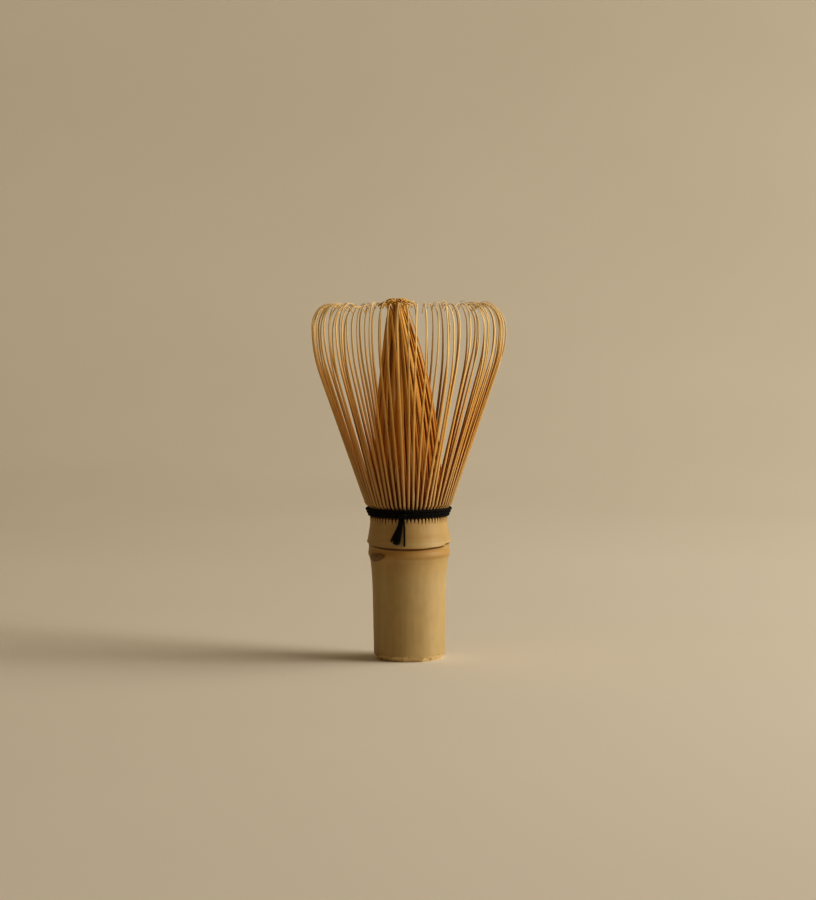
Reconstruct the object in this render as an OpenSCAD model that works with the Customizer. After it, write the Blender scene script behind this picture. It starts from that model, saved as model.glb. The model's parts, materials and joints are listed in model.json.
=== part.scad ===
// Bamboo tea whisk (chasen), standing on the foot of its handle.
// Origin: centre of the foot, on the culm's axis. +Z up, millimetres.
// The front, where the thread is knotted, faces -Y.

/* [Culm] */
// Radius of the culm at the foot
foot_r = 11.4; // [10.8:0.1:12]
// Radius of the hollow below the septum
bore_r = 8; // [6:0.1:8.2]
// Height of the lower swelling of the node
node_z = 33.4; // [31:0.1:34]
// Radius of the lower swelling of the node
node_r = 12.95; // [12.6:0.05:13.1]
// Radius of the sheath scar, the sharp ring above the swelling
scar_r = 13.3; // [13.1:0.05:13.6]
// Radius of the pared waist above the node
waist_r = 12.3; // [12.2:0.05:12.5]
// Chamfer round the foot
foot_chamfer = 1.2; // [0.4:0.1:2]

/* [Tines] */
// Outer tines in each of the sixteen sheaves; there are as many inner ones
sheaf_tines = 4; // [3:1:4]
// Radius of the head over the outer tines
head_r = 31.1; // [30.5:0.1:33]
// How much more steeply outwards the outer tines set out than a straight line to their widest point
bow = 2; // [1.2:0.1:3]
// Height of the crest of the outer tines' hooks
crest_z = 113.4; // [112:0.1:115]
// Height of the whole whisk, to the top of the inner bunch
total_h = 115; // [114.5:0.1:117]
// Lean of the inner bunch towards -X, in degrees
bunch_lean = 2.4; // [0:0.1:2.6]

/* [Thread] */
// Diameter of the binding thread
thread_d = 0.8; // [0.7:0.05:0.9]
// Direction of the knot round the axis, a little left of the front
knot_a = 262; // [255:1:285]
// Length of the thread's two hanging ends
tail_l = 8.4; // [6:0.1:9]

/* [Hidden] */
OUTER_SHEAVES = 16;
INNER_SHEAVES = 8;
THREAD_TURNS = ["lower", "middle", "upper"];

// Name of a node that stands in a row of them, such as outer_tines_03
function nth(name, i) = str(name, i < 9 ? "_0" : "_", i + 1);

$fn = 48;

tine_count = OUTER_SHEAVES * sheaf_tines;
pitch = 360 / tine_count;   // angle from one outer tine to the next

// culm
septum_z = 33.5;            // underside of the septum, and end of the bore
septum_t = 2;
septum_r = 8.8;             // how far the septum reaches into the culm's wall
cavity_r = 9.6;             // hollow above the septum
scar_z = node_z + 4;        // height of the sheath scar
collar_z = 43.6;            // where the slit collar stands on the culm
collar_bore_r = 10.4;       // inside of the collar
slit_z = 44.2;              // bottom of the slits between the tines
root_z = 49.4;              // top of the fixed tine roots
tine_z = root_z + 0.1;      // foot of the flexing tines

// binding: the thread lies in a groove that it presses into the outer roots
groove_lo = [11.85, 45.8];  // [radius, height] of the groove's lower edge
groove_hi = [12.95, 48.4];  // and of its upper edge
groove_slope = (groove_hi[0] - groove_lo[0]) / (groove_hi[1] - groove_lo[1]);
groove_tilt = sqrt(1 + pow(groove_slope, 2));  // radial distance for each mm square to the groove
turn_z = [for (i = [-1:1]) 47.1 + 1.1 * thread_d * i];
weave_d = 0.8;              // the inner turn, squeezed between the two rows of roots
weave_r = 11.42;
weave_z = 47.6;
knot_r = 1;
knot_z = turn_z[1] - 0.6;
ply_d = 0.55;               // one strand of a hanging end
tail_bend_r = 60;           // curve of the hanging ends

// outer tines
root_r = 13.9;              // outer face of a tine at its foot
outer_w = [0.85, 0.42];     // width at the foot and at the crest
outer_t = [0.75, 0.25];     // thickness at the foot and at the tip
hook_w = 5.2;               // from the crest out to the widest point
hook_h = 7.9;               // from the widest point up to the crest
hook_end = 125;             // how far round the hook the tip lies, in degrees
wide_z = crest_z - hook_h;  // height of the widest point
flare = bow + atan2(head_r - root_r, wide_z - tine_z);  // angle at which they leave the binding
bend_r = ((wide_z - tine_z) * tan(flare) - (head_r - root_r)) / (1 / cos(flare) - 1);

// inner tines
bunch_r = 10.5;             // outer face of an inner tine at its foot
bulge = [11.3, 78];         // [radius, height] that the bunch swells towards
inner_w = [0.6, 0.3];       // width at the foot and at the tip
inner_t = [0.5, 0.24];      // thickness at the foot and at the tip
top_r = [1.3, 2.9, 2.1, 3.7];  // radius at the top, for each fourth tine in turn
curl_r = 0.9;               // radius of the tips' outward curl
dome = 0.076;               // how fast the top of the bunch falls off, per mm

bamboo = [0.72, 0.55, 0.30];
pale_bamboo = [0.80, 0.64, 0.38];
black = [0.06, 0.05, 0.05];

// Radius of the grip at a height: nearly straight, opening out below the node
function grip_r(z) = foot_r + (node_r - foot_r) * pow(z / node_z, 2.6);

// Radius of the waist at a height, falling away from the sheath scar
function pared_r(z) =
    waist_r + (scar_r - waist_r) * pow((collar_z - z) / (collar_z - scar_z), 1.3);

// Closes a path of [radius, height] points with the same path set inwards, by a
// thickness that falls from t[0] to t[1] with height
function tine_outline(path, t) = let (
    n = len(path) - 1,
    rise = path[n][1] - path[0][1],
    way = [for (i = [0:n]) path[min(i + 1, n)] - path[max(i - 1, 0)]],
    thick = [for (p = path) t[0] + (t[1] - t[0]) * min((p[1] - path[0][1]) / rise, 1)]
) concat(path, [for (i = [n:-1:0]) path[i] + thick[i] * [-way[i][1], way[i][0]] / norm(way[i])]);

// Outer face of an outer tine: straight, then a slow bend upright, then the hook
function outer_path() = concat(
    [[root_r, tine_z]],
    [for (i = [4:-1:1]) let (a = flare * i / 4)
        [head_r - bend_r * (1 - cos(a)), wide_z - bend_r * sin(a)]],
    [for (i = [0:9]) let (a = hook_end * i / 9)
        [head_r - hook_w * (1 - cos(a)), wide_z + hook_h * sin(a)]]
);

// Outer face of an inner tine that ends at radius r: a Bezier curve, then the curl
function inner_path(r) = let (
    foot = [bunch_r, tine_z],
    top = [r, total_h - dome * pow(r + curl_r, 2) - 1.2 * curl_r],
    tilt = atan2(r - bulge[0], top[1] - bulge[1])
) concat(
    [for (i = [0:8]) let (u = i / 8)
        pow(1 - u, 2) * foot + 2 * u * (1 - u) * bulge + pow(u, 2) * top],
    [for (a = [tilt + 25:25:115])
        top + curl_r * [cos(tilt) - cos(a), sin(a) - sin(tilt)]]
);

// Radius of the middle of something round of radius r that lies in the groove, at a height
function lying_r(z, r) =
    groove_lo[0] + groove_slope * (z - groove_lo[1]) + 1.02 * groove_tilt * r;

// A blade in the plane y = 0: a side view, cut to a width that tapers from w[0] at
// height z[0] to w[1] at z[1]
module blade(outline, z, w) {
    reach = 40;
    intersection() {
        rotate([90, 0, 0])
            linear_extrude(height = 2, center = true) polygon(outline);
        rotate([90, 0, 90]) linear_extrude(height = reach)
            polygon([[-w[0] / 2, z[0]], [w[0] / 2, z[0]], [w[1] / 2, z[1]], [-w[1] / 2, z[1]]]);
    }
}

// The culm from the foot to the waist: grip, node and both hollows
module handle() {
    steps = 10;
    grip = [for (i = [0:steps]) let (z = foot_chamfer + (node_z - foot_chamfer) * i / steps)
        [grip_r(z), z]];
    node_ring = [
        [node_r, node_z + 0.6], [node_r - 0.15, node_z + 1.6], [node_r - 0.1, scar_z - 0.9],
        [scar_r - 0.05, scar_z - 0.35], [scar_r, scar_z], [scar_r - 0.1, scar_z + 0.35]
    ];
    waist = [for (i = [1:6]) let (z = scar_z + (collar_z - scar_z) * i / 6) [pared_r(z), z]];
    color(bamboo) difference() {
        rotate_extrude()
            polygon(concat([[0, 0], [foot_r - foot_chamfer / 2, 0]], grip, node_ring, waist,
                [[0, collar_z]]));
        translate([0, 0, -1]) cylinder(r = bore_r, h = septum_z + 1);
        translate([0, 0, septum_z]) cylinder(r = septum_r, h = septum_t);
        translate([0, 0, septum_z + septum_t]) cylinder(r = cavity_r, h = collar_z);
    }
}

// The natural wall across the culm at its node
module node_septum() {
    color(pale_bamboo) translate([0, 0, septum_z]) cylinder(r = septum_r, h = septum_t);
}

// The slit top of the culm: a ring from which the fixed roots of all the tines stand
module tine_collar() {
    outer_root = [
        [waist_r, collar_z], [waist_r, 45.5], groove_lo, groove_hi,
        [13.45, 49.1], [root_r - 0.04, root_z], [root_r - 0.8, root_z],
        groove_hi - [0.55, 0], groove_lo - [0.6, 0], [waist_r - 1, collar_z]
    ];
    inner_root = [
        [11, collar_z], [10.75, weave_z], [bunch_r + 0.02, root_z],
        [bunch_r - 0.5, root_z], [collar_bore_r, collar_z]
    ];
    color(pale_bamboo) union() {
        translate([0, 0, collar_z]) difference() {
            cylinder(r = waist_r, h = slit_z - collar_z);
            translate([0, 0, -1]) cylinder(r = collar_bore_r, h = 3);
        }
        for (k = [0:tine_count - 1]) {
            rotate(k * pitch)
                blade(outer_root, [collar_z, root_z], [0.84, outer_w[0]]);
            rotate((k + 0.5) * pitch)
                blade(inner_root, [collar_z, root_z], [inner_w[0], inner_w[0]]);
        }
    }
}

// One turn of thread lying round the whisk
module thread_ring(r, z, d) {
    color(black) rotate_extrude() translate([r, z]) circle(d = d);
}

// The turn that runs between the outer roots and the inner ones and holds them apart
module thread_weave_inner() {
    thread_ring(weave_r, weave_z, weave_d);
}

// One of the turns round the outside, counted from the lowest
module thread_turn(i) {
    thread_ring(lying_r(turn_z[i], thread_d / 2), turn_z[i], thread_d);
}

// The knot: a bead pulled down over the middle and lower turns
module thread_knot() {
    color(black) rotate(knot_a) translate([lying_r(knot_z, knot_r), 0, knot_z]) sphere(r = knot_r);
}

// A hanging strand: an arc that leaves the knot straight down and bends slowly outwards,
// starting a distance aside of the knot's middle and swung sideways by an angle
module strand(aside, swing, drop) {
    top = [lying_r(knot_z, knot_r) + 0.15, aside, knot_z - 0.8];
    translate(top) rotate([swing, 0, 0]) translate([tail_bend_r, 0, 0]) rotate([90, 0, 180])
        rotate_extrude(angle = -asin(drop / tail_bend_r))
            translate([tail_bend_r, 0]) circle(d = ply_d, $fn = 24);
}

// The cut end that has come apart into strands
module thread_tail_frayed() {
    color(black) rotate(knot_a) for (i = [0:2])
        strand(0.2 - 0.62 * i, -4 - 8 * i, tail_l - 0.5 * abs(i - 1));
}

// The other end, a single strand
module thread_tail_single() {
    color(black) rotate(knot_a) strand(0.85, 1, tail_l);
}

// A sheaf of outer tines, the i-th of sixteen
module outer_tines(i) {
    color(bamboo) for (k = [0:sheaf_tines - 1])
        rotate((i * sheaf_tines + k) * pitch)
            blade(tine_outline(outer_path(), outer_t), [tine_z, crest_z], outer_w);
}

// A sheaf of inner tines, the i-th of eight, each one leaning about its own foot
module inner_tines(i) {
    count = tine_count / INNER_SHEAVES;
    color(pale_bamboo) for (k = [0:count - 1]) {
        a = (i * count + k + 0.5) * pitch;
        foot = [bunch_r * cos(a), bunch_r * sin(a), tine_z];
        translate(foot) rotate([0, -bunch_lean, 0]) translate(-foot) rotate(a)
            blade(tine_outline(inner_path(top_r[k % 4]), inner_t), [tine_z, total_h], inner_w);
    }
}

handle();
node_septum();
tine_collar();
thread_weave_inner();
for (i = [0:len(THREAD_TURNS) - 1])
    thread_turn(i);
thread_knot();
thread_tail_frayed();
thread_tail_single();
for (i = [0:OUTER_SHEAVES - 1])
    outer_tines(i);
for (i = [0:INNER_SHEAVES - 1])
    inner_tines(i);
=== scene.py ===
import json
import math

import bpy
import numpy as np
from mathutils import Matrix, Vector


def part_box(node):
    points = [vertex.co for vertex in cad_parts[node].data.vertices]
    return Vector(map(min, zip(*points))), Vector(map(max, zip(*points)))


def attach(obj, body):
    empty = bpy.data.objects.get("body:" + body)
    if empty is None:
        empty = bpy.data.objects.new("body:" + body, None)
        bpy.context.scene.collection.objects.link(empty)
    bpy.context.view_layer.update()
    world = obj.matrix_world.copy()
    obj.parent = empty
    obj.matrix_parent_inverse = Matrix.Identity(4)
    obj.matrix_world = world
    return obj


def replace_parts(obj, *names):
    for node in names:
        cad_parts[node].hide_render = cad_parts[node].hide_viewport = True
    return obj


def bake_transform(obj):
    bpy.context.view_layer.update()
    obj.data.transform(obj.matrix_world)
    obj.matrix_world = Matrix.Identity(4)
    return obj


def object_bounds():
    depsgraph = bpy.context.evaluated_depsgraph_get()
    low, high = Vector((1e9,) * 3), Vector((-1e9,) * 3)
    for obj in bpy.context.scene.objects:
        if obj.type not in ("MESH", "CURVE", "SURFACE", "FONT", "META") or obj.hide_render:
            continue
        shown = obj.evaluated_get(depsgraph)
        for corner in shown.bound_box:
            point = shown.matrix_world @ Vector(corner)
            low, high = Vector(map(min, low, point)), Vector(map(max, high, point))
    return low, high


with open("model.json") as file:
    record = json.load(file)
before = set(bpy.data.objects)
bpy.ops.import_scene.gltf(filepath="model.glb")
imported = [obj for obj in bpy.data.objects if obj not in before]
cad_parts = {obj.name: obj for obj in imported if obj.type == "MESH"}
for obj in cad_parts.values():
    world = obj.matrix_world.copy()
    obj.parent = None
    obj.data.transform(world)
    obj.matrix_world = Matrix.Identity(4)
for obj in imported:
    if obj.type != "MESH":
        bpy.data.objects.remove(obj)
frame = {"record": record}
cad_low, cad_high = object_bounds()

# ---------------------------------------------------------------------------
# Sizes. Everything is worked out in millimetres and turned to metres in make().
# Directions round the whisk are angles from +X, and the front is -Y.

MM = 0.001
ROOT = "handle_body"
TINES = 64                      # outer tines, and as many inner ones
OUTER_SHEAVES = 16
INNER_SHEAVES = 8
PITCH = math.tau / TINES        # from one outer tine to the next

mounts = {mount["name"]: mount for mount in frame["record"]["mounts"]}
BORE_R = mounts["handle_bore"]["dims"]["r_mm"]
SEPTUM_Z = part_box("node_septum")[0].z / MM
SEPTUM_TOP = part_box("node_septum")[1].z / MM
TINE_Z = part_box("outer_tines_01")[0].z / MM
CREST_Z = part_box("outer_tines_01")[1].z / MM
HEAD_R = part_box("outer_tines_01")[1].x / MM
TOTAL_H = cad_high.z / MM

JOIN_Z = 42.6                   # height where the visible culm ends and the collar begins
WAIST_TOP = 45.2                # top of the pared waist, where its curve ends
SLIT_TOP = 45.9                 # the slits are at their widest here, under the thread
SLIT_R = 12.2                   # the collar's radius at the slits
CAVITY_R = 9.6                  # hollow above the septum
COLLAR_IN_R = 10.0
GROOVE_LOW = (11.85, 45.8)      # radius and height of the groove that the thread lies in
GROOVE_SLOPE = 0.423
ROW_Z = (46.22, 47.1, 47.98)    # heights of the three rows of thread
KNOT_A = math.radians(262)
KNOT_R = 13.5
KNOT_Z = 46.35

UP = np.array([0, 0, 1.0])

rng = np.random.default_rng(64)


def step(x, low, high):
    """0 below low, 1 above high, smooth between; or the other way round where low is above high."""
    t = np.clip((np.asarray(x, float) - low) / (high - low), 0, 1)
    return t * t * (3 - 2 * t)


def bump(x, at, wide):
    """1 at a place, falling smoothly to 0 at a distance wide either side."""
    t = np.clip(np.abs(np.asarray(x, float) - at) / wide, 0, 1)
    return (1 + np.cos(math.pi * t)) / 2


def limited(size):
    """A normal draw of a given size that never goes beyond twice that size."""
    return size * float(np.clip(rng.normal(), -2, 2))


def turn_between(a, b):
    """The turn from angle b to angle a, from -pi to pi."""
    return (np.asarray(a) - b + math.pi) % math.tau - math.pi


def outward(a):
    """The direction away from the axis at an angle."""
    return np.array([math.cos(a), math.sin(a), 0])


def sideways(a):
    """The direction round the whisk at an angle."""
    return np.array([-math.sin(a), math.cos(a), 0])


def ring_angles(columns):
    return np.arange(columns) * math.tau / columns


def ring_points(r, angle, z):
    """Points at a radius, a direction and a height; z may be one number."""
    return np.stack([r * np.cos(angle), r * np.sin(angle), np.broadcast_to(z, angle.shape)], 1)


def waves(angle, size, counts, seed):
    """A smooth closed wobble round the whisk, made of a few waves."""
    phases = np.random.default_rng(seed).uniform(0, math.tau, len(counts))
    return size * sum(np.sin(n * angle + p) / n ** 0.5 for n, p in zip(counts, phases))


def distances(points):
    """How far each point lies along the line that joins them all."""
    gaps = np.linalg.norm(np.diff(points, axis=0), axis=1)
    return np.concatenate([[0], np.cumsum(gaps)])


def through(points, count):
    """A smooth curve through given points, at count places evenly spaced along it."""
    pts = np.asarray(points, float)
    at = distances(pts)
    slope = np.gradient(pts, at, axis=0)
    want = np.linspace(0, at[-1], count)
    i = np.clip(np.searchsorted(at, want, side="right") - 1, 0, len(at) - 2)
    h = (at[i + 1] - at[i])[:, None]
    t = ((want - at[i]) / h[:, 0])[:, None]
    return (
        (2 * t**3 - 3 * t**2 + 1) * pts[i]
        + (t**3 - 2 * t**2 + t) * h * slope[i]
        + (3 * t**2 - 2 * t**3) * pts[i + 1]
        + (t**3 - t**2) * h * slope[i + 1]
    )


# ---------------------------------------------------------------------------
# Mesh building

SHARP = math.radians(50)        # edges of a turned piece that turn more than this stay crisp
BLADE = [(1, 0.5), (0.82, 1), (-0.82, 1), (-1, 0.5), (-1, -0.5), (-0.82, -1), (0.82, -1), (1, -0.5)]
ROUND = [(math.cos(a), math.sin(a)) for a in ring_angles(8)]


def make(name, points, faces, material, values=None):
    """A smooth-shaded mesh from points in millimetres; values has lists of one number per point."""
    mesh = bpy.data.meshes.new(name)
    mesh.from_pydata((np.asarray(points) * MM).tolist(), [], [tuple(f) for f in faces])
    for key, numbers in (values or {}).items():
        attribute = mesh.attributes.new(key, "FLOAT", "POINT")
        attribute.data.foreach_set("value", np.asarray(numbers, np.float32))
    mesh.polygons.foreach_set("use_smooth", [True] * len(mesh.polygons))
    mesh.materials.append(material)
    mesh.validate()
    piece = bpy.data.objects.new(name, mesh)
    bpy.context.scene.collection.objects.link(piece)
    return piece


def grid_faces(rows, columns, close_rows=False, first=0):
    """Quads of a grid whose columns run all the way round."""
    faces = []
    for i in range(rows if close_rows else rows - 1):
        a = first + i * columns
        b = first + (i + 1) % rows * columns
        for j in range(columns):
            k = (j + 1) % columns
            faces.append((a + j, a + k, b + k, b + j))
    return faces


def turned(name, rows, material, values=None, close=True):
    """A turned piece: each row is a height and the radius at each angle."""
    columns = len(rows[0][1])
    angle = ring_angles(columns)
    points = np.concatenate([ring_points(r, angle, z) for z, r in rows])
    piece = make(name, points, grid_faces(len(rows), columns, close), material, values)
    piece.data.set_sharp_from_angle(angle=SHARP)
    return piece


def axes_along(path, across):
    """The directions of a section's width and thickness at each point of a path."""
    way = np.gradient(path, axis=0)
    way /= np.linalg.norm(way, axis=1)[:, None]
    side = across - (across * way).sum(1)[:, None] * way
    side /= np.linalg.norm(side, axis=1)[:, None]
    return side, np.cross(side, way)


class Bundle:
    """Collects swept strips and strands into one mesh."""

    def __init__(self):
        self.points, self.faces, self.count = [], [], 0
        self.values = {"along": [], "tone": [], "skin": []}

    def sweep(self, path, across, width, thick, section, tone, along=None):
        """Sweeps a section along a path. across is the direction of the section's width."""
        path = np.asarray(path, float)
        n, m = len(path), len(section)
        side, out = axes_along(path, across)
        s = np.asarray(section, float)
        ring = (
            path[:, None]
            + side[:, None] * (s[:, 0] * 0.5)[None, :, None] * np.reshape(width, (-1, 1, 1))
            + out[:, None] * (s[:, 1] * 0.5)[None, :, None] * np.reshape(thick, (-1, 1, 1))
        )
        first = self.count
        self.points.append(ring.reshape(-1, 3))
        self.faces += grid_faces(n, m, first=first)
        self.faces.append(tuple(first + i for i in reversed(range(m))))
        self.faces.append(tuple(first + (n - 1) * m + i for i in range(m)))
        if along is None:
            along = np.linspace(0, 1, n)
        self.values["along"].append(np.repeat(along, m))
        self.values["tone"].append(np.full(n * m, tone))
        self.values["skin"].append(np.tile(s[:, 1] * 0.5 + 0.5, n))
        self.count += n * m

    def make(self, name, material):
        values = {key: np.concatenate(numbers) for key, numbers in self.values.items()}
        return make(name, np.concatenate(self.points), self.faces, material, values)


MASKS = ("scar", "slit", "stain", "cut", "inside", "ridge", "pared")


class Rings:
    """Collects the rings of a piece of the culm, with how strongly each mark shows at each point."""

    def __init__(self, columns):
        self.angle = ring_angles(columns)
        self.rows = []
        self.masks = {name: [] for name in MASKS}

    def add(self, z, r, **marks):
        self.rows.append((z, np.broadcast_to(r, self.angle.shape)))
        for name, strengths in self.masks.items():
            strengths.append(np.broadcast_to(marks.get(name, 0.0), self.angle.shape))

    def make(self, name, material):
        values = {mask: np.concatenate(strengths) for mask, strengths in self.masks.items()}
        return turned(name, self.rows, material, values)


# ---------------------------------------------------------------------------
# Materials


class Shade:
    """One material's node tree round a Principled shader."""

    def __init__(self, name, **shader):
        self.material = bpy.data.materials.new(name)
        self.material.use_nodes = True
        self.tree = self.material.node_tree
        self.shader = self.tree.nodes["Principled BSDF"]
        for key, value in shader.items():
            self.shader.inputs[key.replace("_", " ")].default_value = value

    def add(self, kind, settings=None, **inputs):
        """A node; an input is a number, a colour or another node's output. _0 is the first input."""
        node = self.tree.nodes.new("ShaderNode" + kind)
        for key, value in (settings or {}).items():
            setattr(node, key, value)
        for key, value in inputs.items():
            which = int(key[1:]) if key[0] == "_" else key.replace("_", " ")
            self.put(node.inputs[which], value)
        return node

    def put(self, socket, value):
        """Links a node's output to a socket, or sets the socket to a number or colour."""
        if isinstance(value, bpy.types.NodeSocket):
            self.tree.links.new(value, socket)
        else:
            socket.default_value = value

    def value(self, name):
        """A number that the mesh has at each point."""
        return self.add("Attribute", {"attribute_name": name}).outputs["Fac"]

    def place(self, scale):
        """The object's own coordinates, stretched."""
        at = self.add("TexCoord").outputs["Object"]
        return self.add("Mapping", {"vector_type": "POINT"}, Vector=at, Scale=scale).outputs[0]

    def noise(self, scale, detail=2.0, rough=0.5, distortion=0.0):
        """Soft noise round 0.5; scale is how many times a metre it changes along x, y and z."""
        node = self.add("TexNoise", Vector=self.place(scale), Scale=1.0, Detail=detail,
                        Roughness=rough, Distortion=distortion)
        return node.outputs["Fac"]

    def dots(self, scale, small, large):
        """1 in the middle of scattered dots, 0 away from them."""
        node = self.add("TexVoronoi", {"feature": "F1"}, Vector=self.place(scale), Scale=1.0,
                        Randomness=1.0)
        return self.span(node.outputs["Distance"], large, small)

    def span(self, value, low, high, out_low=0.0, out_high=1.0):
        """Turns values from low to high into values from out_low to out_high, and clamps the rest."""
        node = self.add("MapRange", {"clamp": True}, _0=value, _1=low, _2=high, _3=out_low, _4=out_high)
        return node.outputs[0]

    def math(self, operation, a, b):
        return self.add("Math", {"operation": operation}, _0=a, _1=b).outputs[0]

    def times(self, a, b):
        return self.math("MULTIPLY", a, b)

    def ramp(self, value, stops):
        """A colour for each value, from a list of (value, colour)."""
        node = self.add("ValToRGB", Fac=value)
        ramp = node.color_ramp
        while len(ramp.elements) < len(stops):
            ramp.elements.new(0.5)
        for element, (at, colour) in zip(ramp.elements, stops):
            element.position = at
            element.color = (*colour, 1)
        return node.outputs["Color"]

    def mix(self, share, a, b, blend="MIX"):
        """Colour a, with a share of colour b laid over it."""
        node = self.add("Mix", {"data_type": "RGBA", "blend_type": blend})
        self.put(node.inputs[0], share)
        self.put(node.inputs[6], (*a, 1) if isinstance(a, tuple) else a)
        self.put(node.inputs[7], (*b, 1) if isinstance(b, tuple) else b)
        return node.outputs[2]

    def tint(self, colour, value, low, high):
        """colour made darker or lighter by a value from 0 to 1."""
        grey = self.span(value, 0.0, 1.0, low, high)
        tone = self.add("CombineColor", _0=grey, _1=grey, _2=grey).outputs[0]
        return self.mix(1.0, colour, tone, "MULTIPLY")

    def finish(self, colour, roughness, height=None, depth=0.0, strength=1.0):
        """Sets the shader's colour and roughness, and its bump from a height; depth is in metres."""
        self.put(self.shader.inputs["Base Color"], colour)
        self.put(self.shader.inputs["Roughness"], roughness)
        if height is not None:
            bumped = self.add("Bump", Strength=strength, Distance=depth, Height=height)
            self.put(self.shader.inputs["Normal"], bumped.outputs["Normal"])
        return self.material


def culm_material(name):
    """The culm's golden skin: fibres, mottling, marks at the node, and end grain where it's cut."""
    s = Shade(name, Specular_IOR_Level=0.35)
    fibre = s.noise((2600, 2600, 60), detail=3.0, rough=0.6)
    broad = s.noise((300, 300, 16), detail=3.0, rough=0.55, distortion=0.3)
    mottle = s.noise((330, 330, 240), detail=4.0, rough=0.6)
    colour = s.ramp(broad, [
        (0.3, (0.435, 0.315, 0.145)),
        (0.5, (0.455, 0.336, 0.160)),
        (0.7, (0.475, 0.356, 0.175)),
    ])
    colour = s.tint(colour, fibre, 0.93, 1.06)
    colour = s.tint(colour, mottle, 0.88, 1.1)
    # Browner at the node and the waist; the thin line on the ridge, below its crest, is painted shade.
    colour = s.mix(s.value("ridge"), colour, (0.40, 0.235, 0.07))

    specks = s.dots((1500, 1500, 1500), 0.15, 0.4)
    blotch = s.span(s.noise((900, 900, 900), detail=4.0, rough=0.65), 0.35, 0.6)
    uneven = s.span(s.math("MAXIMUM", specks, blotch), 0.0, 1.0, 0.55, 1.0)
    colour = s.mix(s.times(s.value("stain"), uneven), colour, (0.10, 0.04, 0.012))
    nicks = s.times(s.dots((430, 430, 190), 0.03, 0.13), s.value("pared"))
    colour = s.mix(s.times(nicks, 0.4), colour, (0.2, 0.09, 0.03))

    cut = s.value("cut")
    bundles = s.dots((760, 760, 230), 0.12, 0.3)
    grain = s.mix(s.times(bundles, 0.8), (0.70, 0.55, 0.31), (0.24, 0.11, 0.035))
    colour = s.mix(s.value("inside"), colour, (0.60, 0.46, 0.26))
    colour = s.mix(cut, colour, grain)
    colour = s.mix(s.value("scar"), colour, (0.085, 0.026, 0.008))
    colour = s.mix(s.value("slit"), colour, (0.15, 0.035, 0.006))

    rough = s.span(mottle, 0.3, 0.7, 0.45, 0.62)
    rough = s.math("MAXIMUM", rough, s.times(cut, 0.85))
    height = s.math("ADD", s.times(fibre, 0.6), s.times(mottle, 0.4))
    height = s.math("SUBTRACT", height, s.times(s.times(bundles, cut), 0.9))
    return s.finish(colour, rough, height, depth=0.00012, strength=0.5)


def tine_material(name, stops, dark, light, shadow, depth, reach):
    """A split bamboo tine: fibres along it, its own tone, and painted shade on its scraped sides.

    stops are its colours from root to tip, and dark and light the ends of its range of tones.
    The scraped sides are mixed with shadow, a painted shade as dark red as the gaps between crowded
    tines: by depth at the root, fading to none at reach.
    """
    s = Shade(name, Specular_IOR_Level=0.25)
    fibre = s.noise((5200, 5200, 120), detail=3.0, rough=0.6)
    patch = s.noise((500, 500, 60), detail=3.0, rough=0.55)
    colour = s.ramp(s.value("along"), stops)
    colour = s.tint(colour, s.value("tone"), dark, light)
    colour = s.tint(colour, fibre, 0.86, 1.12)
    colour = s.tint(colour, patch, 0.9, 1.08)
    # Painted shade: the scraped sides and inner face go towards shadow, most at the root where the
    # tines crowd together.
    share = s.span(s.value("along"), 0.2, reach, depth, 0.0)
    scraped = s.span(s.value("skin"), 0.45, 1.0, 1.0, 0.0)
    colour = s.mix(s.times(scraped, share), colour, shadow)
    rough = s.span(fibre, 0.3, 0.7, 0.55, 0.75)
    return s.finish(colour, rough, fibre, depth=0.00005, strength=0.5)


def pith_material():
    """The pale, papery wall inside the culm."""
    s = Shade("pith_bamboo", Specular_IOR_Level=0.2)
    web = s.noise((700, 700, 700), detail=5.0, rough=0.65)
    ring = s.noise((150, 150, 150))
    colour = s.ramp(web, [(0.3, (0.50, 0.36, 0.19)), (0.6, (0.70, 0.57, 0.35))])
    colour = s.tint(colour, ring, 0.8, 1.1)
    return s.finish(colour, 0.85, web, depth=0.0003, strength=0.6)


def thread_material():
    """Black twisted cotton, with fine fibres that catch a little light."""
    s = Shade("black_thread", Specular_IOR_Level=0.2, Sheen_Weight=0.04, Sheen_Roughness=0.5)
    fuzz = s.noise((9000, 9000, 9000), detail=3.0, rough=0.7)
    worn = s.noise((900, 900, 900))
    colour = s.ramp(fuzz, [(0.3, (0.004, 0.003, 0.003)), (0.75, (0.018, 0.014, 0.012))])
    colour = s.tint(colour, worn, 0.7, 1.5)
    return s.finish(colour, 0.85, fuzz, depth=0.00006, strength=0.8)


def paper_material():
    """The plain pale beige sweep that the whisk stands on."""
    s = Shade("pale_sweep", Specular_IOR_Level=0.15)
    soft = s.noise((4, 4, 4))
    colour = s.ramp(soft, [(0.3, (0.715, 0.66, 0.555)), (0.7, (0.735, 0.68, 0.575))])
    return s.finish(colour, 0.9)


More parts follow.
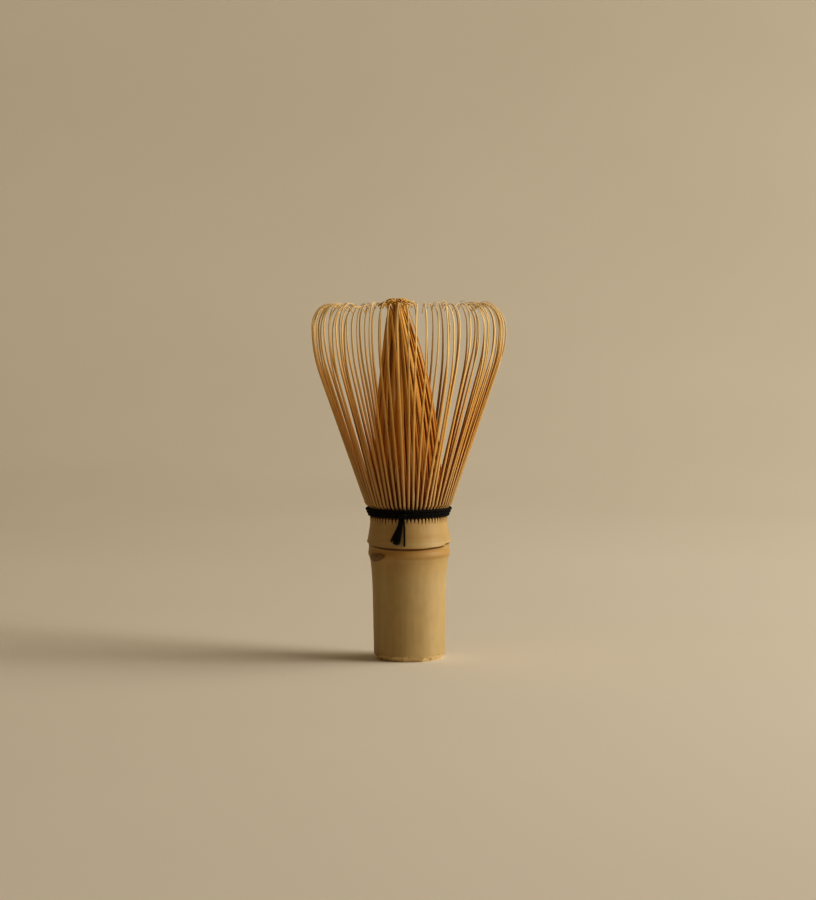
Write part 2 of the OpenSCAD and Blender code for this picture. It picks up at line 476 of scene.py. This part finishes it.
culm_bamboo = culm_material("culm_bamboo")
split_bamboo = culm_material("split_bamboo")
tine_bamboo = tine_material(
    "tine_bamboo",
    stops=[
        (0.0, (0.52, 0.36, 0.16)),
        (0.15, (0.56, 0.38, 0.165)),
        (0.35, (0.62, 0.36, 0.11)),
        (0.62, (0.70, 0.44, 0.15)),
        (0.78, (0.78, 0.56, 0.25)),
        (0.9, (0.80, 0.60, 0.30)),
        (1.0, (0.78, 0.58, 0.31)),
    ],
    # shadow is painted shade on the scraped sides, deepest at the root.
    dark=0.86, light=1.08, shadow=(0.36, 0.115, 0.012), depth=0.85, reach=0.9,
)
inner_bamboo = tine_material(
    "inner_bamboo",
    stops=[
        # Darker and redder towards the root: painted shade, and the painted red glow of light bounced
        # between tines, where the inner tines stand deep behind the outer ones.
        (0.0, (0.26, 0.05, 0.004)),
        (0.1, (0.38, 0.10, 0.01)),
        (0.22, (0.58, 0.235, 0.035)),
        (0.45, (0.68, 0.345, 0.07)),
        (0.75, (0.75, 0.42, 0.11)),
        (0.9, (0.76, 0.45, 0.125)),
        (1.0, (0.76, 0.48, 0.15)),
    ],
    # shadow is painted shade on the scraped sides, deepest at the root.
    dark=0.8, light=1.1, shadow=(0.50, 0.17, 0.02), depth=0.85, reach=0.55,
)
pith_bamboo = pith_material()
black_thread = thread_material()


# ---------------------------------------------------------------------------
# The culm

SCAR_Z = 37.4                   # mean height of the sheath scar
SCAR_TILT = 1.3                 # how much higher the scar stands at the back than at the sides
SCAR_STEP_A = math.radians(330)
STAIN_A = math.radians(214)
STAIN_Z = 33.1
STAIN_WIDE = 0.36               # half the stain's width, as an angle
STAIN_TALL = 1.35               # and half its height
FOOT_CUTS = 13                  # knife cuts round the foot
CLEAR = 99.0                    # a radius beyond the whole culm, where a cut doesn't reach
CULM = [                        # [height, radius] of the culm's side
    (0, 11.35), (1.3, 11.38), (6, 11.46), (12.5, 11.54), (18.8, 11.64), (24, 11.76), (28, 11.95),
    (31, 12.28), (32.4, 12.55), (33, 12.78), (33.5, 12.96), (33.9, 13.0), (34.4, 12.94), (35.1, 12.82),
    (35.9, 12.76), (36.5, 12.78), (36.85, 12.84), (37.1, 12.9), (37.3, 13.15), (37.5, 13.36),
    (37.8, 13.3), (38.5, 13.1), (39.5, 12.93), (41, 12.68), (42.4, 12.45), (43.7, 12.3),
    (WAIST_TOP, 12.27),
]


def scar_shift(angle):
    """How far the sheath scar stands above its mean height in a direction, with one small step."""
    tilt = SCAR_TILT * np.sin(angle)
    past = turn_between(angle, SCAR_STEP_A)
    nick = 0.4 * step(past, -0.03, 0.03) * (1 - step(past, 0.05, 0.5))
    return tilt + nick + waves(angle, 0.04, (3, 5, 8, 13), 5)


def culm_r(z, angle):
    """The culm's outer radius at a height and direction."""
    near = 1 - step(np.abs(z - SCAR_Z), 1.6, 3.4)
    heights, radii = np.array(CULM).T
    r = np.interp(z - scar_shift(angle) * near, heights, radii)
    r = r + waves(angle, 0.03, (2, 3, 5), 1)
    return r + waves(angle + 0.004 * z, 0.012, (17, 29, 41, 67), 2) * step(z, 33, 38)


def chamfer_r(z, angle):
    """The knife cuts round the foot: flat facets, none quite like the next."""
    r = np.full_like(angle, CLEAR)
    for i in range(FOOT_CUTS):
        at = (i + 0.2 * math.sin(2.4 * i)) * math.tau / FOOT_CUTS
        depth = 9.85 + 0.18 * math.sin(3.1 * i)
        turn = turn_between(angle, at)
        facet = (depth + 0.84 * z) / np.cos(np.clip(turn, -1, 1))
        r = np.minimum(r, np.where(np.abs(turn) < 1, facet, CLEAR))
    return r


def scar_line(z, angle):
    """The dark line in the step under the scar, thickest at the front."""
    below = z - SCAR_Z - scar_shift(angle) + 0.28
    front = np.clip(-np.sin(angle + 0.3), 0, 1)
    thick = 0.2 + 0.15 * front ** 2 + waves(angle, 0.025, (13, 23, 37), 8)
    line = 1.3 * np.exp(-((below / thick) ** 2)) * (0.8 + waves(angle, 0.12, (4, 7, 11), 7))
    return np.clip(line, 0, 1)


def ridge_tint_and_shade(z):
    """A thin line of painted shade below the crest of the ridge, and how brown the skin is: soft bands
    at the node, and the waist above it.
    """
    # Painted shade: the thin line just below the ridge's crest.
    line = 0.3 * np.exp(-(((z - 33.0) / 0.3) ** 2))
    return line + 0.75 * bump(z, 35.0, 3.0) + 0.25 * bump(z, 31.0, 6) + 0.35 * step(z, 37.5, 38.5)


def oval_stain(z, angle):
    """The stain under the node, at the left: a flat middle in a darker, uneven rim."""
    aside = turn_between(angle, STAIN_A) / STAIN_WIDE
    spot = np.hypot(aside, (z - STAIN_Z - 0.5 * aside) / STAIN_TALL)
    spot = spot + waves(angle + 0.3 * z, 0.06, (9, 16, 29), 4)
    rim = 0.6 + 0.4 * np.sin(2 * np.arctan2(z - STAIN_Z, aside) - 0.6)
    return np.clip(0.75 * step(spot, 1.0, 0.7) + 0.7 * rim * bump(spot, 0.92, 0.26), 0, 1)


def add_skin(rings):
    """The outside of the culm from the cut foot up, with rings close together where it has detail."""
    angle = rings.angle
    heights = np.concatenate([
        np.linspace(0, 2.2, 23), np.linspace(2.8, 30, 24), np.linspace(30.5, 35.0, 31),
        np.linspace(35.1, 39.6, 61), np.linspace(39.9, JOIN_Z, 9),
    ])
    ragged = waves(angle, 0.06, (29, 47, 83, 121), 6)
    for z in heights:
        skin = culm_r(z, angle)
        cut = chamfer_r(z, angle)
        rings.add(
            z, np.minimum(skin, cut),
            scar=scar_line(z, angle),
            stain=oval_stain(z, angle),
            cut=step(skin - cut + ragged, -0.03, 0.1),
            ridge=ridge_tint_and_shade(z),
            pared=step(z, 38.5, 40.5),
        )


def add_hollow(rings):
    """The top face, the hollow and the bore from the top down, and the underside of the foot."""
    rough = waves(rings.angle, 0.04, (5, 9, 14), 3)
    for r in np.linspace(12.0, 9.9, 4):
        rings.add(JOIN_Z, r, cut=1.0)
    for z in np.linspace(JOIN_Z, SEPTUM_TOP, 8):
        rings.add(z, CAVITY_R + rough, inside=1.0)
    for z in np.linspace(SEPTUM_TOP - 0.3, SEPTUM_Z - 0.2, 4):
        rings.add(z, 8.5, inside=1.0)
    for z in np.linspace(SEPTUM_Z - 0.6, 0.5, 22):
        rings.add(z, BORE_R + 0.6 * rough, inside=1.0)
    foot_edge = chamfer_r(0.0, rings.angle) - 0.05
    for r in (BORE_R + 0.03, BORE_R + 0.25, 8.8, 9.4, 10.0, 10.35):
        bore_edge = 0.12 * step(8.35 - r, 0, 0.33)
        rings.add(bore_edge, np.minimum(r + 0.3 * rough, foot_edge), cut=1.0)


def make_culm():
    rings = Rings(384)
    add_skin(rings)
    add_hollow(rings)
    piece = rings.make("culm", culm_bamboo)
    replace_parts(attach(piece, ROOT), "handle")


def make_septum():
    """The wall across the culm: dished, with faint rings, and a crust where it meets the culm."""
    angle = ring_angles(96)
    edge = 8.5
    profile = []
    for r in np.linspace(0.02, 8.48, 22):
        dish = 0.45 * (1 - (r / edge) ** 2)
        profile.append((SEPTUM_Z + dish + 0.05 * math.sin(4 * r) - 0.25 * step(r, 7.4, edge), r))
    for r in np.linspace(8.48, 0.02, 22):
        dish = 0.35 * (1 - (r / edge) ** 2)
        profile.append((SEPTUM_TOP - dish + 0.04 * math.sin(5 * r), r))
    rows = [(z, r + waves(angle, 0.02, (3, 5), 9) * (r > 1)) for z, r in profile]
    piece = turned("septum", rows, pith_bamboo)
    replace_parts(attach(piece, ROOT), "node_septum")


def make_collar():
    """The top of the culm, with a slit between each two tines that runs down to its own depth."""
    rings = Rings(TINES * 16)
    angle = rings.angle
    gap = np.round(angle / PITCH - 0.5)
    ends = SLIT_TOP - rng.uniform(1.3, 2.1, TINES)
    end = ends[gap.astype(int) % TINES]
    aside = np.abs(turn_between(angle, (gap + 0.5) * PITCH)) * SLIT_R
    off_tine = np.abs(turn_between(angle, np.round(angle / PITCH) * PITCH)) / (PITCH / 2)
    bulge = 0.1 * (1 - off_tine ** 2)
    for z in np.concatenate([np.linspace(JOIN_Z, 43.0, 3), np.linspace(43.1, 46.4, 34)]):
        half = 0.31 * np.clip((z - end) / (SLIT_TOP - end), 0, 1.2) ** 0.8
        depth = 1.3 * step(half - aside, -0.03, 0.07) * step(z, end - 0.1, end + 0.3)
        tip = 0.6 * np.exp(-((aside / 0.14) ** 2)) * bump(z, end, 0.7)
        r = culm_r(min(z, WAIST_TOP), angle)
        r = r + bulge * step(z, 43.8, 45.4) - 0.4 * step(z, 45.25, SLIT_TOP)
        rings.add(z, r - depth, slit=np.clip(depth / 0.4 + tip, 0, 1), ridge=0.35, pared=1.0)
    for r in (11.3, 10.6):
        rings.add(46.9, r, cut=1.0)
    for z in np.linspace(46.6, JOIN_Z, 6):
        rings.add(z, COLLAR_IN_R, inside=1.0)
    piece = rings.make("slit_collar", split_bamboo)
    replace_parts(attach(piece, ROOT), "tine_collar")


# ---------------------------------------------------------------------------
# The tines

FLARE = math.radians(19.1)      # angle at which the outer tines leave the binding
HOOK_H = 7.9                    # from an outer tine's widest point up to its crest
HAIR_SHARE = 0.3                # how many of the outer tines have a hair split off their hook
TINE_FOOT = (13.92, TINE_Z + 0.2)  # radius and height of an outer tine's outer face at the binding
ROOT_FACE = [(11.75, 45.9), (12.23, 46.9), (12.69, 48.3), (13.0, 48.85), (13.5, 49.25)]
TINE_WIDTH = [                  # [share of its length, width] of an outer tine
    (0, 0.8), (0.05, 0.74), (0.14, 0.78), (0.27, 0.88), (0.48, 0.78), (0.75, 0.6), (0.88, 0.48),
    (1, 0.3),
]
TINE_THICK = [(0, 0.8), (0.1, 0.75), (0.45, 0.5), (0.8, 0.3), (1, 0.2)]
INNER_WIDTH = [(0, 0.86), (0.1, 0.88), (0.5, 0.9), (0.85, 0.84), (1, 0.6)]
INNER_THICK = [(0, 0.5), (0.1, 0.5), (0.5, 0.45), (0.85, 0.34), (1, 0.24)]
INNER_ROOT = [(10.75, 46.2), (10.25, 47.4), (10.05, 48.6)]
INNER_FOOT_R = 10.22            # radius at which the inner tines leave the binding
INNER_BULGE = (11.1, 78)        # radius and height that the bunch swells towards
INNER_TOP_R = (0.5, 2.3, 1.4, 3.0)  # radius at the top, for each fourth inner tine in turn
DOME = 0.075                    # how fast the top of the bunch falls off, per mm
LEAN_H = 61                     # height over which the bunch leans to its full amount


def table(share, rows):
    """A value at a share of a length, from rows of [share, value]."""
    return np.interp(share, *np.array(rows).T)


def outer_face(head_r, crest_z, hook_w, hook_h, hook_end):
    """The outer face of an outer tine in its own plane: root, flare, slow bend, hook."""
    wide_z = crest_z - hook_h
    foot = TINE_FOOT
    rise, spread = wide_z - foot[1], head_r - foot[0]
    bend = (rise * math.tan(FLARE) - spread) / (1 / math.cos(FLARE) - 1)
    start = (head_r - bend * (1 - math.cos(FLARE)), wide_z - bend * math.sin(FLARE))
    straight = [
        (foot[0] + (start[0] - foot[0]) * t, foot[1] + (start[1] - foot[1]) * t)
        for t in np.linspace(0, 1, 12)[:-1]
    ]
    arc = [
        (head_r - bend * (1 - math.cos(a)), wide_z - bend * math.sin(a))
        for a in np.linspace(FLARE, 0, 7)[:-1]
    ]
    hook = [
        (head_r - hook_w * (1 - math.cos(a)), wide_z + hook_h * math.sin(a))
        for a in np.linspace(0, math.radians(hook_end), 14)
    ]
    return np.array(ROOT_FACE + straight + arc + hook)


def add_hair(bundle, path, across, run, side, tone):
    """A single hair split off a tine's hook, that lifts away from it."""
    peel = run > 0.8
    lift = step(run[peel], 0.8, 0.95)[:, None]
    hair = path[peel] + lift * (rng.uniform(0.3, 0.9) * UP + limited(0.6) * side)
    bundle.sweep(hair, across[peel], 0.16, 0.12, BLADE, tone, run[peel])


def add_outer_tine(bundle, k, drift):
    """The k-th outer tine, with its own small differences, and sometimes a hair."""
    a = k * PITCH + limited(0.003)
    # The crests are a little lower, and the hooks wider, towards the left and right of the head.
    face = outer_face(
        head_r=HEAD_R - 0.45 + limited(0.45),
        crest_z=CREST_Z + 0.1 - 0.4 * abs(math.cos(a)) + limited(0.3),
        hook_w=3.9 + 1.6 * abs(math.cos(a)) ** 1.5 + limited(0.35),
        hook_h=HOOK_H * (1 + limited(0.06)),
        hook_end=124 + limited(10),
    )
    rise = (face[:, 1] - TINE_Z) / (CREST_Z - TINE_Z)
    run = distances(face)
    run /= run[-1]
    thick = table(run, TINE_THICK)
    width = table(run, TINE_WIDTH) * (1 + limited(0.08))
    lean = 0.55 * drift * step(rise, 0.0, 1.0)
    aside = lean + limited(0.45) * np.sin(math.pi * np.clip(rise, 0, 1))
    aside = aside + limited(0.75) * step(run, 0.86, 1.0)
    way = np.gradient(face, axis=0)
    way /= np.linalg.norm(way, axis=1)[:, None]
    centre = face + np.stack([-way[:, 1], way[:, 0]], 1) * (thick / 2)[:, None]
    out, side = outward(a), sideways(a)
    path = centre[:, :1] * out + centre[:, 1:] * UP + aside[:, None] * side
    twist = (limited(0.35) * step(rise, 0.2, 1.0))[:, None]
    across = side * np.cos(twist) + out * np.sin(twist)
    tone = rng.uniform(0, 1)
    bundle.sweep(path, across, width, thick, BLADE, tone, run)
    if rng.uniform() < HAIR_SHARE:
        add_hair(bundle, path, across, run, side, tone)


def flex(piece):
    """Bakes a sheaf's placement into its own mesh."""
    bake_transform(piece)


def make_outer_sheaves():
    per = TINES // OUTER_SHEAVES
    drift = rng.normal(0, 1, TINES).clip(-1.8, 1.8)
    drift = 0.75 * drift + 0.25 * np.roll(drift, 1)
    for sheaf in range(OUTER_SHEAVES):
        bundle = Bundle()
        for k in range(sheaf * per, (sheaf + 1) * per):
            add_outer_tine(bundle, k, drift[k])
        number = sheaf + 1
        piece = bundle.make(f"outer_sheaf_{number:02d}", tine_bamboo)
        body = f"outer_tines_{number:02d}"
        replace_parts(piece, body)
        flex(piece)


def inner_curl(top, swirl, curl):
    """The tip of an inner tine: round and down from its top, a little off its own direction."""
    curl_a = swirl + limited(0.45)
    loose_left = max(0.0, -math.cos(curl_a))
    turn = rng.uniform(120, 155) + 15 * loose_left
    b = np.linspace(0, math.radians(turn), 11)[1:, None]
    return top + curl * ((1 - np.cos(b)) * outward(curl_a) + np.sin(b) * UP)


def inner_path(k):
    """The middle line of the k-th inner tine: from inside the binding to the curled tip."""
    a = (k + 0.5) * PITCH
    out, side = outward(a), sideways(a)
    loose = max(0.0, math.cos(a))          # the bunch splays a little at the right
    top_r = INNER_TOP_R[k % 4] + limited(0.3)
    curl = rng.uniform(1.4, 1.9)
    top_z = TOTAL_H - 0.1 - DOME * (top_r + curl) ** 2 - curl - abs(limited(0.2))
    swirl = a + limited(0.4)
    foot = out * INNER_FOOT_R + UP * TINE_Z
    middle_r = INNER_BULGE[0] + limited(0.3) + 0.9 * loose**2
    middle = out * middle_r + side * limited(0.4 + 0.6 * loose) + UP * INNER_BULGE[1]
    top = outward(swirl) * top_r + UP * top_z
    u = np.linspace(0, 1, 22)[:, None]
    curve = (1 - u) ** 2 * foot + 2 * u * (1 - u) * middle + u**2 * top
    tip = inner_curl(top, swirl, curl)
    below = [r * out + z * UP for r, z in INNER_ROOT]
    path = through(np.concatenate([below, curve, tip]), 44)
    t = np.clip((path[:, 2] - TINE_Z) / LEAN_H, 0, 1.1)
    path[:, 0] -= 1.5 * t + 1.4 * t**2     # the whole bunch leans to the left
    return path


def add_inner_tine(bundle, k):
    """The k-th inner tine, with its own width and twist."""
    a = (k + 0.5) * PITCH
    path = inner_path(k)
    run = np.linspace(0, 1, len(path))
    width = table(run, INNER_WIDTH) * (1 + limited(0.1))
    thick = table(run, INNER_THICK)
    twist = (limited(0.7) * step(run, 0.15, 0.9))[:, None]
    across = sideways(a) * np.cos(twist) + outward(a) * np.sin(twist)
    bundle.sweep(path, across, width, thick, BLADE, rng.uniform(0, 1), run)


def make_inner_sheaves():
    per = TINES // INNER_SHEAVES
    for sheaf in range(INNER_SHEAVES):
        bundle = Bundle()
        for k in range(sheaf * per, (sheaf + 1) * per):
            add_inner_tine(bundle, k)
        number = sheaf + 1
        piece = bundle.make(f"inner_sheaf_{number:02d}", inner_bamboo)
        body = f"inner_tines_{number:02d}"
        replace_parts(piece, body)
        flex(piece)


# ---------------------------------------------------------------------------
# The thread

ROW_D = 0.98                    # thickness of the thread in the visible rows
WEAVE_R = 11.85
WEAVE_Z = 47.75
WEAVE_SWAY = 0.3                # how far the inner turn goes in and out, and up and down
TAIL_TOP = 45.7                 # where the two ends leave the knot
PLIES = 2
STRAND_D = [(0, 0.32), (0.5, 0.3), (0.9, 0.26), (1, 0.2)]
FRAYED = [                      # [start aside of the knot, end aside, height of the end, sag]
    (-0.9, -3.8, 38.6, 0.25),
    (-0.75, -3.15, 37.9, 0.15),
    (-0.6, -2.6, 37.6, 0.1),
    (-0.45, -2.1, 37.6, 0.0),
    (-0.3, -1.6, 37.8, -0.1),
]


def groove_r(z):
    return GROOVE_LOW[0] + GROOVE_SLOPE * (z - GROOVE_LOW[1])


def add_twisted(bundle, path, around, size, pitch, phase, tone):
    """One thread of a given thickness, its plies twisted about each other once in each pitch."""
    ply = size * 0.56
    side, out = axes_along(path, around)
    turns = distances(path) / pitch * math.tau + phase
    for i in range(PLIES):
        a = (turns + i * math.tau / PLIES)[:, None]
        line = path + (size - ply) / 2 * (np.cos(a) * side + np.sin(a) * out)
        bundle.sweep(line, around, ply, ply, ROUND, tone)


def make_rows():
    """The three rows of thread that show, each pressed a little in between the tines."""
    angle = np.linspace(0, math.tau, 721)
    for name, z, seed in zip(("lower", "middle", "upper"), ROW_Z, (11, 12, 13)):
        bundle = Bundle()
        r = groove_r(z) + 0.5 + 0.05 * np.cos(TINES * angle) + waves(angle, 0.02, (5, 9, 14), seed)
        wander = waves(angle, 0.03, (1, 2, 3, 7), seed + 20)
        height = z + wander + 0.04 * np.sin(TINES / 2 * angle + seed)
        add_twisted(bundle, ring_points(r, angle, height), UP, ROW_D, 1.2, seed, 0.5)
        piece = bundle.make(f"thread_row_{name}", black_thread)
        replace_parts(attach(piece, ROOT), f"thread_turn_{name}")


def make_weave():
    """The thread that winds between the two rows of roots, up between each two outer tines."""
    angle = np.linspace(0, math.tau, 1281)
    gap = np.cos(TINES * angle)
    bundle = Bundle()
    path = ring_points(WEAVE_R - WEAVE_SWAY * gap, angle, WEAVE_Z - WEAVE_SWAY * gap)
    add_twisted(bundle, path, UP, 0.8, 1.3, 0.0, 0.4)
    piece = bundle.make("thread_weave", black_thread)
    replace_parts(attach(piece, ROOT), "thread_weave_inner")


def at_knot(aside, z, out):
    """A point near the knot: a distance aside of it, a height, and a distance out from the axis."""
    a = KNOT_A + aside / 13.0
    return np.array([out * math.cos(a), out * math.sin(a), z])


def make_knot():
    """An overhand knot pulled tight over the lower rows."""
    t = np.linspace(0.35, math.tau + 0.15, 90)
    u = 0.36 * (np.sin(t) + 2 * np.sin(2 * t))
    v = 0.33 * (np.cos(t) - 2 * np.cos(2 * t))
    w = -0.3 * np.sin(3 * t)
    path = np.array([at_knot(a, KNOT_Z + b, KNOT_R + c) for a, b, c in zip(u, v, w)])
    bundle = Bundle()
    add_twisted(bundle, path, outward(KNOT_A), 0.72, 1.3, 0.6, 0.5)
    piece = bundle.make("knot", black_thread)
    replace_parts(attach(piece, ROOT), "thread_knot")


def hanging(aside_top, aside_end, end_z, stand, sag):
    """A strand's path from the knot down the waist, a distance stand off the culm's surface."""
    z = np.linspace(TAIL_TOP, end_z, 26)
    t = (TAIL_TOP - z) / (TAIL_TOP - end_z)
    aside = aside_top + (aside_end - aside_top) * t**1.15 + sag * np.sin(math.pi * t)
    r = np.array([float(culm_r(min(h, WAIST_TOP), np.array([KNOT_A]))[0]) for h in z])
    r = np.maximum(r + stand, 13.45 - 1.2 * step(t, 0, 0.45))  # it stands clear of the rows first
    return np.array([at_knot(a, h, q) for a, h, q in zip(aside, z, r)])


def make_tails():
    """The two ends that hang from the knot: one frayed into strands, one still twisted."""
    out = outward(KNOT_A)
    frayed = Bundle()
    for i, (top, end, end_z, sag) in enumerate(FRAYED):
        for _ in range(5):
            spread = limited(0.12)
            lift = 0.12 * abs(limited(1))
            path = hanging(top + spread, end + 2.4 * spread, end_z + limited(0.25),
                           0.3 + lift, sag + limited(0.08))
            fine = table(np.linspace(0, 1, len(path)), STRAND_D)
            frayed.sweep(path, out, fine, fine, ROUND, 0.2 + 0.1 * i)
    piece = frayed.make("tail_frayed", black_thread)
    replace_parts(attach(piece, ROOT), "thread_tail_frayed")
    single = Bundle()
    path = hanging(0.2, 0.4, 37.1, 0.34, 0.1)
    add_twisted(single, through(path, 80), out, 0.62, 1.5, 0.0, 0.4)
    piece = single.make("tail_single", black_thread)
    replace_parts(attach(piece, ROOT), "thread_tail_single")


# ---------------------------------------------------------------------------
# Floor, light and camera. The places of the lights and the camera are in metres.

FLOOR_R = 1000                  # radius of the flat floor, mm
FLOOR_HOLE_R = 0.01             # its middle is left open by this much, too little to see
CURVE_R = 1500                  # radius of the curve that rises round it, mm
CURVE_TURN = math.radians(72)
SWEEP_Y = -0.4                  # the sweep's middle, nearer the camera than the whisk, m
AMBIENT_COLOUR = (0.86, 0.70, 0.50, 1)
AMBIENT_STRENGTH = 0.22
CAMERA_PLACE = (0.0002, -0.882, 0.119)
CAMERA_DOWN = math.radians(3.4)
CAMERA_ROLL = math.radians(0.35)
CAMERA_LENS = 111
CAMERA_SENSOR = 36


def make_sweep():
    """A seamless round sweep: a flat floor, and a wide curve that rises all round it."""
    turn = np.linspace(0, CURVE_TURN, 33)[1:]
    profile = [(r, 0.0) for r in (FLOOR_HOLE_R, 100, 400, FLOOR_R)]
    profile += [(FLOOR_R + CURVE_R * math.sin(a), CURVE_R - CURVE_R * math.cos(a)) for a in turn]
    rows = [(z, np.full(96, r)) for r, z in profile]
    sweep = turned("sweep", rows, paper_material(), close=False)
    sweep.location.y = SWEEP_Y


def add_light(name, place, aim, size, power, colour):
    """A soft rectangular light that isn't seen itself."""
    light = bpy.data.lights.new(name, "AREA")
    light.shape = "RECTANGLE"
    light.size, light.size_y = size
    light.energy = power
    light.color = colour
    lamp = bpy.data.objects.new(name, light)
    lamp.location = place
    lamp.visible_camera = False
    direction = [a - p for a, p in zip(aim, place)]
    lamp.rotation_euler = Vector(direction).to_track_quat("-Z", "Y").to_euler()
    bpy.context.scene.collection.objects.link(lamp)


def add_camera():
    camera = bpy.data.cameras.new("camera")
    camera.lens = CAMERA_LENS
    camera.sensor_width = CAMERA_SENSOR
    eye = bpy.data.objects.new("camera", camera)
    eye.location = CAMERA_PLACE
    eye.rotation_euler = (math.radians(90) - CAMERA_DOWN, CAMERA_ROLL, 0)
    bpy.context.scene.collection.objects.link(eye)
    bpy.context.scene.camera = eye


def make_stage():
    """A low key light from the right, a high one for the floor behind, and warm light all round."""
    make_sweep()
    add_light("key", place=(1.4, -0.39, 0.58), aim=(0, 0, 0.06), size=(0.9, 0.9),
              power=15.0, colour=(1.0, 0.98, 0.96))
    add_light("top", place=(1.3, 0.3, 1.3), aim=(0.8, 1.1, 0.15), size=(1.3, 1.1),
              power=9.5, colour=(1.0, 0.95, 0.87))
    world = bpy.data.worlds.new("studio")
    world.use_nodes = True
    background = world.node_tree.nodes["Background"]
    background.inputs[0].default_value = AMBIENT_COLOUR
    background.inputs[1].default_value = AMBIENT_STRENGTH
    bpy.context.scene.world = world
    bpy.context.scene.view_settings.view_transform = "Standard"
    bpy.context.scene.view_settings.look = "High Contrast"
    add_camera()


make_culm()
make_septum()
make_collar()
make_outer_sheaves()
make_inner_sheaves()
make_rows()
make_weave()
make_knot()
make_tails()
make_stage()
